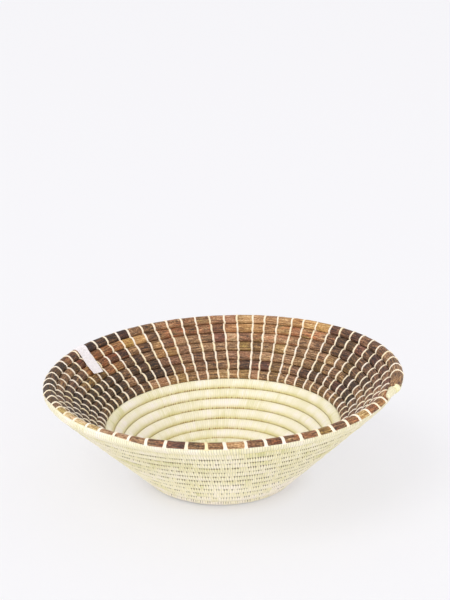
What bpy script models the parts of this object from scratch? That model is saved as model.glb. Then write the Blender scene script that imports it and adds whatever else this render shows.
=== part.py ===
# A coiled grass basket: one grass coil wound from the middle of the floor out and up to the rim,
# faced with bark strips on the inside of its last rows, with a blank cloth tag over the rim.
# Metres, +Z up, the origin on the ground under the middle of the floor.
import math
import bpy
from mathutils import Matrix, Vector

# The bowl, along the coil's centre line
rim_radius = 0.1945
rim_height = 0.1225
wall_angle = math.radians(45)
foot_bend_radius = 0.012
start_radius = 0.019

# How the rows lie: the coil climbs clockwise, seen from above, to its end at the right
plain_row_pitch = 0.01315
faced_row_pitch = 0.01245
faced_rows = 7
row_gap = 0.0006
end_azimuth = math.radians(-18)
points_per_turn = 24
flat_cut_share = 0.1

# The turns below the faced rows that belong to the wall's length of coil, the rest being the floor's
lower_wall_share = 0.39

# The rim stands a little higher on one side than on the other
rim_lean = 0.0064
lean_azimuth = math.radians(-5)

# Between neighbouring pieces
clearance = 0.0003

# The wrapped tip beyond the coil's blunt end: thinner, and thinning out on the row below
end_taper_length = 0.018
end_root_radius = 0.0042
end_tip_radius = 0.0022
end_taper_points = 5

# The disc that the coil starts on
start_edge_radius = 0.0015
start_edge_segments = 2

# The faces of the coil, two of which lie along the wall
tube_sides = 6

# The bark strips cover the coil's inner face and these shares of the faces above and below it;
# on the rim a strip covers all of the face above and a share of the next
bark_thickness = 0.0008
bark_cover_share = 0.65
rim_cover_share = 0.41

# The tag
tag_width = 0.017
tag_inside_length = 0.034
tag_thickness = 0.0005
tag_azimuth = math.radians(152)
tag_outer_angle = math.radians(245)
tag_arc_step = math.radians(30)

# Cutters run past what they cut by this
overrun = 0.01

palm_colour = (0.76, 0.70, 0.50)
binder_colour = (0.80, 0.75, 0.58)
bark_colours = [(0.20, 0.11, 0.065), (0.24, 0.14, 0.08), (0.27, 0.15, 0.08), (0.22, 0.12, 0.07),
                (0.19, 0.11, 0.07), (0.23, 0.13, 0.08), (0.20, 0.11, 0.07)]
tag_colour = (0.86, 0.84, 0.82)

turn = 2 * math.pi
step = 1 / points_per_turn
chord_share = math.cos(math.pi * step)
side_share = math.cos(math.pi / tube_sides)
merge_distance = 0.00001


def row_radius(pitch):
    # the coil's radius in rows of this pitch: neighbours keep the gap at mid chord too
    return (pitch * chord_share - row_gap) / 2


plain_radius = row_radius(plain_row_pitch)
faced_radius = row_radius(faced_row_pitch)
floor_height = plain_radius - flat_cut_share * 2 * plain_radius

# The profile from the rim inwards: a straight wall, the bend of the foot, a flat floor
bend_drop = foot_bend_radius * (1 - math.cos(wall_angle))
bend_run = foot_bend_radius * math.sin(wall_angle)
bend_length = foot_bend_radius * wall_angle
wall_length = (rim_height - floor_height - bend_drop) / math.sin(wall_angle)
foot_radius = rim_radius - wall_length * math.cos(wall_angle)
floor_radius = foot_radius - bend_run
profile_length = wall_length + bend_length + floor_radius - start_radius
faced_length = faced_rows * faced_row_pitch
total_turns = faced_rows + (profile_length - faced_length) / plain_row_pitch


def profile(length):
    # radius and height of the centre line, a length down from the coil's end
    if length < wall_length:
        return rim_radius - length * math.cos(wall_angle), rim_height - length * math.sin(wall_angle)
    if length < wall_length + bend_length:
        left = wall_angle - (length - wall_length) / foot_bend_radius
        return (floor_radius + foot_bend_radius * math.sin(left),
                floor_height + foot_bend_radius * (1 - math.cos(left)))
    return floor_radius - (length - wall_length - bend_length), floor_height


def centre(turns_back):
    # the centre line in space, some turns back from the coil's end
    length = faced_row_pitch * min(turns_back, faced_rows)
    length += plain_row_pitch * max(turns_back - faced_rows, 0)
    radius, height = profile(length)
    azimuth = end_azimuth + turn * turns_back
    rise = (height - floor_height) / (rim_height - floor_height)
    height += rise * rim_lean * math.cos(azimuth - lean_azimuth)
    return Vector((radius * math.cos(azimuth), radius * math.sin(azimuth), height))


def knot(index):
    # the coil's points stand half a step off its joints, at the same azimuths in every turn
    return (index + 0.5) * step


def on_coil(turns_back):
    # a place on the straight runs between the coil's points
    index = math.floor(turns_back / step - 0.5)
    share = turns_back / step - 0.5 - index
    return centre(knot(index)).lerp(centre(knot(index + 1)), share)


def coil_radius(turns_back):
    # half of the nearer row's distance, less the gap
    here = centre(turns_back)
    spacing = min((here - centre(turns_back + side)).length for side in (-1, 1))
    return row_radius(spacing)


def downhill(turns_back):
    # the direction from this row to the next one down the wall, or in across the floor
    return (on_coil(turns_back + 1) - on_coil(turns_back - 1)).normalized()


def tilt(turns_back):
    # the wall's slope at a row, which turns the tube so that its flats lie along the wall
    way = downhill(turns_back)
    return math.atan2(-way.z, math.hypot(way.x, way.y))


def stations(first, last):
    # where a length of coil has its points, from its lower end to its upper end
    inner = [knot(index) for index in range(math.ceil(first / step - 0.5),
                                            math.floor(last / step - 0.5) + 1)]
    inner = [place for place in inner if first < place < last]
    return [last] + inner[::-1] + [first]


def drawn_in(points, distance):
    # the same line with both of its ends drawn in along their own runs
    first = points[0] + (points[1] - points[0]).normalized() * distance
    last = points[-1] + (points[-2] - points[-1]).normalized() * distance
    return [first] + points[1:-1] + [last]


def material(name, colour, roughness):
    made = bpy.data.materials.new(name)
    made.use_nodes = True
    shader = made.node_tree.nodes["Principled BSDF"]
    shader.inputs["Base Color"].default_value = (*colour, 1)
    shader.inputs["Roughness"].default_value = roughness
    shader.inputs["Metallic"].default_value = 0
    return made


def collection(name):
    made = bpy.data.collections.new(name)
    bpy.context.scene.collection.children.link(made)
    return made


def path(name, points, radii, tilts, group):
    # a curve through the points, which keeps its section upright as it goes round
    curve = bpy.data.curves.new(name, "CURVE")
    curve.dimensions = "3D"
    curve.twist_mode = "Z_UP"
    spline = curve.splines.new("POLY")
    spline.points.add(len(points) - 1)
    for point, place, radius, angle in zip(spline.points, points, radii, tilts):
        point.co = (*place, 1)
        point.radius = radius
        point.tilt = angle
    made = bpy.data.objects.new(name, curve)
    group.objects.link(made)
    return made


def tube(name, points, radii, tilts, group):
    # a faceted tube with filled ends
    made = path(name, points, [radius / plain_radius for radius in radii], tilts, group)
    made.data.bevel_depth = plain_radius
    made.data.bevel_resolution = tube_sides // 2 - 2
    made.data.use_fill_caps = True
    return made


def flat_line(name, points, closed, group):
    # an outline in its own XY plane
    curve = bpy.data.curves.new(name, "CURVE")
    curve.dimensions = "2D"
    spline = curve.splines.new("POLY")
    spline.points.add(len(points) - 1)
    for point, place in zip(spline.points, points):
        point.co = (place[0], place[1], 0, 1)
    spline.use_cyclic_u = closed
    made = bpy.data.objects.new(name, curve)
    group.objects.link(made)
    return made


def to_mesh(curve_object, group):
    # the curve's own solid as a mesh, with its caps welded on
    evaluated = curve_object.evaluated_get(bpy.context.evaluated_depsgraph_get())
    mesh = bpy.data.meshes.new_from_object(evaluated)
    name = curve_object.name
    placed = curve_object.matrix_world.copy()
    bpy.data.objects.remove(curve_object, do_unlink=True)
    mesh.name = name
    made = bpy.data.objects.new(name, mesh)
    made.matrix_world = placed
    group.objects.link(made)
    weld = made.modifiers.new("weld", "WELD")
    weld.merge_threshold = merge_distance
    return made


def ground_cutter(group):
    # a block whose top is the ground
    side = 2 * (rim_radius + overrun)
    bpy.ops.mesh.primitive_cube_add(size=1, location=(0, 0, -overrun))
    made = bpy.context.object
    made.name = "ground_cutter"
    made.scale = (side, side, 2 * overrun)
    for owner in list(made.users_collection):
        owner.objects.unlink(made)
    group.objects.link(made)
    made.hide_render = True
    made.display_type = "WIRE"
    return made


def coil_places(first, last):
    # a coil's stations; its start runs straight for one coil diameter
    places = stations(first, last)
    while last == total_turns and (on_coil(places[0]) - on_coil(places[1])).length < 2 * plain_radius:
        places.pop(1)
    return places


def coil_length(name, first, last, finish, group):
    # one length of the coil, between two joints counted in turns back from its end
    places = coil_places(first, last)
    points = drawn_in([on_coil(place) for place in places], clearance / 2)
    radii = [coil_radius(place) for place in places]
    made = tube(name, points, radii, [tilt(place) for place in places], group)
    made.data.materials.append(finish)
    return made, points, radii


def least_gap(points, radii):
    # the least room between turns of one tube, measured on points along it
    samples = []
    per_run = 4
    for here, there, wide, wider in zip(points, points[1:], radii, radii[1:]):
        for count in range(per_run):
            share = count / per_run
            samples.append((here.lerp(there, share), wide + (wider - wide) * share))
    apart = per_run * points_per_turn // 2
    least = math.inf
    for count, (place, radius) in enumerate(samples):
        for other, other_radius in samples[count + apart:]:
            least = min(least, (place - other).length - radius - other_radius)
    return least


def bark_section(name, upper_share, group):
    # the section of a strip, in a frame with x down the wall and y into the bowl: a line along the
    # faces that it covers, from its lower edge to its upper edge, counted in faces above the inner
    corner_angle = turn / tube_sides
    radius = faced_radius + clearance / side_share
    corners = [Vector((radius * math.cos(corner_angle * count), radius * math.sin(corner_angle * count)))
               for count in range(tube_sides)]
    points = [corners[1].lerp(corners[0], bark_cover_share), corners[1], corners[2]]
    if upper_share > 1:
        points += [corners[3], corners[3].lerp(corners[4], upper_share - 1)]
    else:
        points += [corners[2].lerp(corners[3], upper_share)]
    made = flat_line(name, points, False, group)
    made.hide_render = True
    made.display_type = "WIRE"
    return made


def bark_strip(name, first, last, section, finish, group):
    # a strip along one row, held off the coil by the clearance; its section faces the coil, so the
    # thickness goes to the back of the face
    places = stations(first, last)
    points = drawn_in([on_coil(place) for place in places], clearance / 2)
    radii = [coil_radius(place) / faced_radius for place in places]
    made = path(name, points, radii, [tilt(place) for place in places], group)
    made.data.bevel_mode = "OBJECT"
    made.data.bevel_object = section
    thicken = made.modifiers.new("thickness", "SOLIDIFY")
    thicken.thickness = bark_thickness
    thicken.offset = -1
    thicken.use_even_offset = True
    made.data.materials.append(finish)
    return made


def inset_line(points, distance):
    # a line in plan beside the given one, towards the axis
    flat = [Vector((place.x, place.y, 0)) for place in points]
    beside = []
    for count, place in enumerate(flat):
        before = flat[max(count - 1, 0)]
        after = flat[min(count + 1, len(flat) - 1)]
        ways = [(end - start).normalized() for start, end in ((before, place), (place, after))
                if (end - start).length > 0]
        sides = [Vector((way.y, -way.x, 0)) for way in ways]
        side = sum(sides, Vector()).normalized()
        if side.dot(place) > 0:
            side = -side
        beside.append(place + side * distance / abs(side.dot(sides[0])))
    return beside


def coil_start(finish, group):
    # the disc that fills the first turn: its edge follows the turn's inner side, and a straight
    # step stands square to the coil's own end
    places = coil_places(total_turns - 1 - step, total_turns)
    line = inset_line([on_coil(place) for place in places], plain_radius + clearance)
    butt = on_coil(places[0])
    ahead = (on_coil(places[1]) - butt).normalized()
    butt = butt - ahead * clearance / 2
    line[0] = line[0] - ahead * clearance / 2
    past = [(place - butt).dot(ahead) for place in line]
    last = max(count for count in range(len(line) - 1) if past[count] < 0 <= past[count + 1])
    share = past[last] / (past[last] - past[last + 1])
    outline = line[:last + 1] + [line[last].lerp(line[last + 1], share)]
    height = floor_height + plain_radius * side_share
    made = flat_line("coil_start", outline, True, group)
    made.data.fill_mode = "BOTH"
    made.data.extrude = height / 2
    made.location = (0, 0, height / 2)
    bpy.context.view_layer.update()
    made = to_mesh(made, group)
    rounding = made.modifiers.new("edges", "BEVEL")
    rounding.width = start_edge_radius
    rounding.segments = start_edge_segments
    rounding.limit_method = "ANGLE"
    made.data.materials.clear()
    made.data.materials.append(finish)
    return made


def coil_end_binding(finish, group):
    # the wrapped tip, which goes on from the coil's blunt end along the row below and lies on it; it
    # starts square to the coil, so its first run keeps the width
    points = []
    radii = []
    tilts = []
    for count in range(end_taper_points):
        share = count / (end_taper_points - 1)
        place = 1 - (clearance / 2 + share * end_taper_length) / (turn * rim_radius)
        thinned = max(count - 1, 0) / (end_taper_points - 2)
        radius = end_root_radius + (end_tip_radius - end_root_radius) * thinned
        lift = coil_radius(place) + row_gap + radius
        points.append(on_coil(place) - downhill(place) * lift)
        radii.append(radius)
        tilts.append(tilt(place))
    made = tube("coil_end_binding", points, radii, tilts, group)
    made.data.materials.append(finish)
    return made


def label_tag(finish, group):
    # a blank strip of woven tape, folded over the rim and lying down the inner wall
    turns_back = (tag_azimuth - end_azimuth) / turn
    origin = on_coil(turns_back)
    down = downhill(turns_back)
    along = (on_coil(turns_back - step / 4) - on_coil(turns_back + step / 4)).normalized()
    down = (down - along * down.dot(along)).normalized()
    inward = along.cross(down)
    if inward.z < 0:
        inward = -inward
        along = -along
    corner = (coil_radius(turns_back) + (clearance + bark_thickness) / side_share + clearance)
    arc_radius = corner / math.cos(tag_arc_step / 2)
    arc_count = math.ceil((tag_outer_angle - math.pi / 2) / tag_arc_step)
    points = []
    for count in range(arc_count + 1):
        angle = tag_outer_angle + (math.pi / 2 - tag_outer_angle) * count / arc_count
        points.append((arc_radius * math.cos(angle), arc_radius * math.sin(angle)))
    points.append((tag_inside_length, arc_radius))
    made = flat_line("label_tag", points, False, group)
    made.data.extrude = tag_width / 2
    normal = down.cross(inward)
    made.matrix_world = Matrix.Translation(origin) @ Matrix((down, inward, normal)).transposed().to_4x4()
    thicken = made.modifiers.new("thickness", "SOLIDIFY")
    thicken.thickness = tag_thickness
    thicken.offset = 1
    thicken.use_even_offset = True
    made.data.materials.append(finish)
    return made


def build():
    for old in list(bpy.data.objects):
        bpy.data.objects.remove(old, do_unlink=True)
    parts = collection("coiled_grass_basket")
    guides = collection("cutters_and_guides")
    palm = material("palm_wrapped_grass", palm_colour, 0.75)
    binder = material("palm_binder", binder_colour, 0.65)
    cloth = material("woven_tag", tag_colour, 0.85)

    # the floor's length of coil runs on up the foot, to a joint in the middle of a straight run
    # and off the ground
    floor_end = faced_rows + round(lower_wall_share * (total_turns - faced_rows) / step) * step
    while centre(floor_end).z - coil_radius(floor_end) < clearance:
        floor_end -= step

    lengths = [("upper_wall_coil", 0, faced_rows), ("lower_wall_coil", faced_rows, floor_end),
               ("floor_coil", floor_end, total_turns)]
    for name, first, last in lengths:
        length, points, radii = coil_length(name, first, last, palm, parts)
        print(name, "least gap to itself", round(1000 * least_gap(points, radii), 3), "mm,",
              round(last - first, 2), "turns")
        if name == "floor_coil":
            length = to_mesh(length, parts)
            cut = length.modifiers.new("flat foot", "BOOLEAN")
            cut.object = ground_cutter(guides)
            cut.operation = "DIFFERENCE"
            cut.solver = "EXACT"

    # the first strip ends a step early, where the coil's wrapped end lies over its row
    inner_section = bark_section("bark_section", bark_cover_share, guides)
    rim_section = bark_section("rim_bark_section", 1 + rim_cover_share, guides)
    for row in range(faced_rows):
        first = row - step if row else 0
        last = row + 1 - step if row < faced_rows - 1 else faced_rows
        bark = material(f"bark_row_{row + 1}", bark_colours[row % len(bark_colours)], 0.7)
        bark_strip(f"bark_strip_row_{row + 1}", first, last, inner_section if row else rim_section,
                   bark, parts)

    coil_start(palm, parts)
    coil_end_binding(binder, parts)
    label_tag(cloth, parts)
    print("turns of the coil", round(total_turns, 2), "of which on the floor",
          round(total_turns - floor_end, 2))


build()
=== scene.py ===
# The looks of a coiled grass basket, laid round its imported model: palm wrapped rows, bark faced
# rows under the rim with cream binder stitches over them, and a blank cloth tag. Metres, +Z up.
import math
from math import radians
import bpy
import numpy as np
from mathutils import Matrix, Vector


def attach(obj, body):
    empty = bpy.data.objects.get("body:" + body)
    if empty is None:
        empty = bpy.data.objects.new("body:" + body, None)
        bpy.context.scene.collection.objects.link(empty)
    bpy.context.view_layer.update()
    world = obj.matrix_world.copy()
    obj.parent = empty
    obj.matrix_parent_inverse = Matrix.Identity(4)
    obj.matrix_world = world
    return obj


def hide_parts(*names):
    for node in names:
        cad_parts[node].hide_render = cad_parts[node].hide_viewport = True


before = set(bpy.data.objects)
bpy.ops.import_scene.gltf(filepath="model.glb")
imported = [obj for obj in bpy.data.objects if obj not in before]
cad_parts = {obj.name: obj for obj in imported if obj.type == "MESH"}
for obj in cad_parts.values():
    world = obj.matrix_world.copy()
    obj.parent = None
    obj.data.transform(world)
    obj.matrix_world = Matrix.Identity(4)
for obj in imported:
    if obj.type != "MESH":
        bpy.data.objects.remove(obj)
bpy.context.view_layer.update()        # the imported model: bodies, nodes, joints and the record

seeded = np.random.default_rng
fullTurn = 2 * math.pi
quarterTurn = fullTurn / 4
small = 0.001  # a share of a turn too short to see
groundGap = 0.0001  # from the floor to the lowest point
latticeSize = (257, 263)
gapAlong, gapRound = 0.02, 0.04  # left free at the sides of a cell in the layout for baking

# The coil's route, the same as the model's, in turns back from its end on the rim
route = {
    "rimRadius": 0.1945, "rimHeight": 0.1225, "wallAngle": radians(45), "footBend": 0.012,
    "startRadius": 0.019, "plainPitch": 0.01315, "facedPitch": 0.01245, "facedRows": 7,
    "rowGap": 0.0006, "pointsPerTurn": 24, "endAzimuth": radians(-18), "rimLean": 0.0064,
    "leanAzimuth": radians(-5),
    "floorShare": 0.8,  # the floor's centre line, as a share of the coil's radius
    "floorJoint": 265 / 24,  # where the floor's length of coil meets the wall's
    "samples": 6001,  # points at which lengths along it are kept
}
facedRows = route["facedRows"]
chordShare = math.cos(math.pi / route["pointsPerTurn"])
floorHeight = route["floorShare"] * (route["plainPitch"] * chordShare - route["rowGap"]) / 2
wallCos = math.cos(route["wallAngle"])
wallSin = math.sin(route["wallAngle"])
bendDrop = route["footBend"] * (1 - wallCos)
wallLength = (route["rimHeight"] - floorHeight - bendDrop) / wallSin
floorRadius = route["rimRadius"] - wallLength * wallCos - route["footBend"] * wallSin
bendLength = route["footBend"] * route["wallAngle"]
routeLength = wallLength + bendLength + floorRadius - route["startRadius"]
rimLength = fullTurn * route["rimRadius"]
facedLength = facedRows * route["facedPitch"]
totalTurns = facedRows + (routeLength - facedLength) / route["plainPitch"]


def azimuthOf(turns):
    return route["endAzimuth"] + fullTurn * turns


def coilCentre(turns):
    # the centre line, some turns back from the coil's end
    down = route["facedPitch"] * np.minimum(turns, facedRows)
    down = down + route["plainPitch"] * np.maximum(turns - facedRows, 0)
    left = np.clip(route["wallAngle"] - (down - wallLength) / route["footBend"], 0, route["wallAngle"])
    radius = np.where(down < wallLength, route["rimRadius"] - down * wallCos,
                      floorRadius + route["footBend"] * np.sin(left))
    height = np.where(down < wallLength, route["rimHeight"] - down * wallSin,
                      floorHeight + route["footBend"] * (1 - np.cos(left)))
    radius = radius - np.maximum(down - wallLength - bendLength, 0)
    azimuth = azimuthOf(turns)
    climb = (height - floorHeight) / (route["rimHeight"] - floorHeight)
    height = height + climb * route["rimLean"] * np.cos(azimuth - route["leanAzimuth"])
    return np.stack([radius * np.cos(azimuth), radius * np.sin(azimuth), height], -1)


def unit(vectors):
    return vectors / np.linalg.norm(vectors, axis=-1, keepdims=True)


def squareTo(along, vectors):
    return unit(vectors - along * np.sum(vectors * along, -1, keepdims=True))


def coilFrame(turns):
    # the centre, the ways along, down the wall and inward, and half the way to the rows below and above
    centre, below, above = [coilCentre(turns + rows) for rows in (0, 1, -1)]
    along = unit(coilCentre(turns - small) - coilCentre(turns + small))
    down = squareTo(along, below - above)
    halfBelow, halfAbove = [np.linalg.norm(row - centre, axis=-1) / 2 for row in (below, above)]
    return centre, along, down, np.cross(down, along), halfBelow, halfAbove


def placed(ways, x, y, back=0):
    # points x down the wall, y into the bowl and some way back along the coil, none below the ground
    centre, along, down, inward = [way[:, None] for way in ways[:4]]
    x, y, back = [np.asarray(value)[..., None] for value in (x, y, back)]
    points = centre + down * x + inward * y - along * back
    points[..., 2] = np.maximum(points[..., 2], groundGap)
    return points


def laid(lengths, stops):
    # the two lengths that a finish is laid by, along the piece and round it
    return np.stack(np.broadcast_arrays(lengths[:, None], stops), -1)


def runLengths(points):
    return np.concatenate([[0], np.cumsum(np.linalg.norm(np.diff(points, axis=0), axis=1))])


# Lengths along the coil, from its end
lengthTurns = np.linspace(0, totalTurns, route["samples"])
lengthAt = runLengths(coilCentre(lengthTurns))


def turnsAt(length):
    past = np.minimum(length, 0) / rimLength
    return np.interp(length, lengthAt, lengthTurns) + past


def lengthOf(turns):
    past = np.minimum(turns, 0) * rimLength
    return np.interp(turns, lengthTurns, lengthAt) + past


def smooth(share):
    share = np.clip(share, 0, 1)
    return share * share * (3 - 2 * share)


def eased(value, start, span):
    # 0 up to the start, 1 past the span and smooth between
    return smooth((value - start) / span)


def mixed(low, high, share):
    # low where the share is 0 and high where it is 1, for numbers as for shader sockets
    return low + (high - low) * share


def closing(count, steps, least=0.25):
    # how far a tube draws in towards its last section
    return np.minimum(1, (count - 1 - np.arange(count)) / steps + least)[:, None]


def lattice(across, along, seed):
    # smooth random values from -1 to 1, one for each whole step across and along
    table = seeded(seed).uniform(-1, 1, latticeSize)
    column, row = np.floor(across).astype(int), np.floor(along).astype(int)
    shareAcross, shareAlong = smooth(across - column), smooth(along - row)
    corners = [[table[(column + x) % latticeSize[0], (row + y) % latticeSize[1]] for y in (0, 1)]
               for x in (0, 1)]
    near, far = [first * (1 - shareAlong) + second * shareAlong for first, second in corners]
    return near * (1 - shareAcross) + far * shareAcross


valleyFloor = 0.85  # the least share of a valley's fill
valleyWidth = 0.2


def oval(angles, halfBelow, halfAbove, halfIn, halfOut, powers, fill):
    # a rounded section: x down the wall and y into the bowl, for angles from down the wall; the fill
    # raises the valley towards the next row
    cosine, sine = np.cos(angles), np.sin(angles)
    inside = sine >= 0
    power = np.where(inside, 2 / powers[0], 2 / powers[1])
    x = np.where(cosine >= 0, halfBelow, halfAbove) * np.sign(cosine) * np.abs(cosine) ** power
    y = np.abs(sine) ** power
    valley = np.where(inside, fill, 0) * (1 - y)
    y = y + valley * mixed(valleyFloor, 1, smooth(np.abs(sine) / valleyWidth))
    return x, y * np.where(inside, halfIn, -halfOut)


def quadCorners(grid):
    return np.stack([grid[:-1, :-1], grid[:-1, 1:], grid[1:, 1:], grid[1:, :-1]], 2)


def flatList(parts):
    return np.concatenate(parts).astype(np.float32).ravel()


def add(name, data):
    made = bpy.data.objects.new(name, data)
    bpy.context.scene.collection.objects.link(made)
    return made


def makePiece(name, skins, finish, nodes=(), cellsAcross=1, bandLength=0):
    # one mesh from closed tubes, each its rings, the lengths its finish is laid by and its fields
    points, faces, lies, bakes, fieldLists = [], [], [], [], {}
    spans = [len(tube[0]) - 1 for tube in skins]
    cells = sum(math.ceil(span / (bandLength or span)) for span in spans)
    cellRows = math.ceil(cells / cellsAcross)
    offset = cell = 0
    for (rings, lie, fields), span in zip(skins, spans):
        stations, around = rings.shape[:2]
        points.append(rings.reshape(-1, 3))
        for key, values in fields.items():
            fieldLists.setdefault(key, []).append(np.broadcast_to(values, (stations, around)).ravel())
        index = offset + np.arange(stations * around).reshape(stations, around)
        faces += quadCorners(np.hstack([index, index[:, :1]])).reshape(-1, 4).tolist()
        lies.append(quadCorners(lie).reshape(-1, 2))
        perBand = bandLength or span
        band, place = np.divmod(np.arange(span), perBand)
        band = band + cell
        wide, tall = (1 - 2 * gapAlong) / perBand, (1 - 2 * gapRound) / around
        left = ((band % cellsAcross + gapAlong + wide * place) / cellsAcross)[:, None]
        low = ((band // cellsAcross)[:, None] + gapRound + tall * np.arange(around)) / cellRows
        right, high = left + wide / cellsAcross, low + tall / cellRows
        corners = ((left, low), (left, high), (right, high), (right, low))
        bake = np.stack([np.stack(np.broadcast_arrays(*corner), -1) for corner in corners], 2)
        bakes.append(bake.reshape(-1, 2))
        for end, edge, way in ((0, bake[0, :, 0], -1), (span, bake[-1, :, 3], 1)):
            faces.append(index[end, ::way].tolist())
            lies.append(lie[end, :-1][::way])
            bakes.append(edge[::way])
        offset += stations * around
        cell = int(band[-1]) + 1
    mesh = bpy.data.meshes.new(name)
    mesh.from_pydata(np.concatenate(points).tolist(), [], faces)
    for key, values in fieldLists.items():
        mesh.attributes.new(key, "FLOAT", "POINT").data.foreach_set("value", flatList(values))
    for key, values in (("OFBake", bakes), ("lie", lies)):
        mesh.uv_layers.new(name=key).data.foreach_set("uv", flatList(values))
    mesh.shade_smooth()
    mesh.materials.append(finish.material)
    made = add(name, mesh)
    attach(made, "root")
    if nodes:
        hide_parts(*nodes)
    return made


# Finishes

def tint(red, green, blue):
    # a colour as a screen shows it, from 0 to 255, as the shader wants it
    linear = [value / 255 for value in (red, green, blue)]
    linear = [value / 12.92 if value <= 0.04045 else ((value + 0.055) / 1.055) ** 2.4 for value in linear]
    return (*linear, 1)


class Wire:
    # a shader socket that can stand in a sum
    def __init__(self, finish, socket):
        self.finish = finish
        self.socket = socket

    def maths(self, operation, *values):
        return self.finish.node("ShaderNodeMath", {"operation": operation}, dict(enumerate(values)))

    def __add__(self, other):
        return self.maths("ADD", self, other)

    __radd__ = __add__

    def __sub__(self, other):
        return self.maths("SUBTRACT", self, other)

    def __rsub__(self, other):
        return self.maths("SUBTRACT", other, self)

    def __mul__(self, other):
        return self.maths("MULTIPLY", self, other)

    __rmul__ = __mul__

    def sine(self):
        return self.maths("SINE", self)

    def held(self):
        # kept between 0 and 1
        return self.finish.node("ShaderNodeClamp", {}, {"Value": self})

    def past(self, level, gain):
        return gain * (self - level)


class Finish:
    # one material, and the method that adds any node to it
    def __init__(self, name):
        self.material = bpy.data.materials.new(name)
        self.material.use_nodes = True
        self.tree = self.material.node_tree
        self.shader = self.tree.nodes["Principled BSDF"]

    def put(self, socket, value):
        if isinstance(value, Wire):
            self.tree.links.new(value.socket, socket)
        else:
            socket.default_value = value

    def show(self, sockets):
        for key, value in sockets.items():
            self.put(self.shader.inputs[key], value)

    def node(self, kind, settings, sockets, output=0):
        made = self.tree.nodes.new(kind)
        for key, value in settings.items():
            setattr(made, key, value)
        for key, value in sockets.items():
            self.put(made.inputs[key], value)
        return Wire(self, made.outputs[output])

    def field(self, name):
        return self.node("ShaderNodeAttribute", {"attribute_name": name}, {}, "Fac")

    def lie(self):
        # the lengths along and round the piece, in metres
        place = self.node("ShaderNodeUVMap", {"uv_map": "lie"}, {})
        return [self.node("ShaderNodeSeparateXYZ", {}, {0: place}, way) for way in (0, 1)]

    def noise(self, along, around, alongStep, aroundStep, offset=0, detail=3):
        # smooth noise with one swing in each step along and around
        spot = self.node("ShaderNodeCombineXYZ", {},
                         {0: along * (1 / alongStep), 1: around * (1 / aroundStep), 2: offset})
        return self.node("ShaderNodeTexNoise", {}, {"Vector": spot, "Scale": 1, "Detail": detail})

    def noises(self, table):
        along, around = self.lie()
        return [self.noise(along, around, *numbers) for numbers in table]

    def ramp(self, value, stops):
        # each stop is its position and its colour
        made = self.node("ShaderNodeValToRGB", {}, {0: value})
        elements = made.socket.node.color_ramp.elements
        while len(elements) < len(stops):
            elements.new(1)
        for element, (position, *colour) in zip(elements, stops):
            element.position = position
            element.color = tint(*colour)
        return made

    def blend(self, one, other, share, kind="MIX"):
        settings = {"data_type": "RGBA", "blend_type": kind}
        return self.node("ShaderNodeMix", settings, {0: share, 6: one, 7: other}, 2)

    def wash(self, colour, other, share):
        return self.blend(colour, other, share, "MULTIPLY")

    def shade(self, colour, level):
        # a colour made darker or lighter all alike
        grey = self.node("ShaderNodeCombineColor", {}, {0: level, 1: level, 2: level})
        return self.wash(colour, grey, 1.0)

    def bump(self, height, distance):
        return self.node("ShaderNodeBump", {}, {"Height": height, "Distance": distance, "Strength": 1.0})


palmLook = {
    "strips": [(0, 253, 244, 231), (0.3, 250, 243, 218), (0.6, 243, 235, 202), (0.85, 234, 228, 182),
               (1, 218, 214, 164)],
    "edgeShadeTint": tint(224, 214, 148), "grooveShadeTint": tint(150, 120, 62),
    "outsideShadeWash": tint(241, 240, 232), "holeShadeTint": tint(72, 52, 26),
    "innerHoleShadeTint": tint(152, 84, 38),
    # fibre, stain and grain: steps along and round, and what sets the pattern apart
    "noises": ((0.00028, 0.007), (0.024, 0.0192, 7.0), (0.0016, 0.004, 4.0)), "stainGain": 1.3,
    "grainGain": 0.5, "edgeShadeShare": 0.75,
    "stained": (0.4, 1.6), "grained": (0.1, 1.9), "fibreLight": (0.88, 1.12),  # least and most
    "seamShade": (0.34, 0.14), "holeLevels": (0.4, 0.8),  # outside and inside
    "holeGain": 4.8, "roughness": (0.4, 0.7), "seamRelief": 0.6, "relief": 0.00016,
}


def palmFinish():
    # split palm leaf wound round the bundle, its fibres running round the coil
    look = palmLook
    finish = Finish("palm_wrap")
    fibre, stain, grain = finish.noises(look["noises"])
    edge, seam, inside, hole, groove, outside, tone = [
        finish.field(key) for key in ("edge", "seam", "inside", "hole", "groove", "outside", "strip")]
    stained = mixed(*look["stained"], stain)
    tone = tone + stain.past(0.5, look["stainGain"]) + grain.past(0.5, look["grainGain"])
    colour = finish.ramp(tone, look["strips"])
    # painted shade: the sides of each row, most of all the lower one, are tinted yellower and darker
    colour = finish.blend(colour, look["edgeShadeTint"], (look["edgeShadeShare"] * edge * stained).held())
    # painted shade: the outside wall is washed darker by the outside field
    colour = finish.wash(colour, look["outsideShadeWash"], outside)
    colour = finish.shade(colour, mixed(*look["fibreLight"], fibre))
    colour = finish.shade(colour, 1 - seam * mixed(*look["seamShade"], inside))
    # painted shade: the grooves between rows are tinted darker
    colour = finish.blend(colour, look["grooveShadeTint"], (groove * stained).held())
    # painted shade: the stitch holes are darkened, warmer on the inside
    hole = (look["holeGain"] * hole - mixed(*look["holeLevels"], inside)) * mixed(*look["grained"], grain)
    holeShadeTint = finish.blend(look["holeShadeTint"], look["innerHoleShadeTint"], inside)
    finish.show({"Base Color": finish.blend(colour, holeShadeTint, hole.held()),
                 "Roughness": mixed(*look["roughness"], fibre),
                 "Normal": finish.bump(fibre - look["seamRelief"] * seam, look["relief"])})
    return finish


binderLook = {
    "pale": tint(251, 238, 219), "yellow": tint(246, 226, 178), "fibreStep": 0.00022,
    "fibreRun": 0.009, "fibreLight": (0.95, 1.05), "grooveShadeLevels": (1, 0.88), "roughness": 0.5,
    "relief": 0.0001,
}


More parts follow.
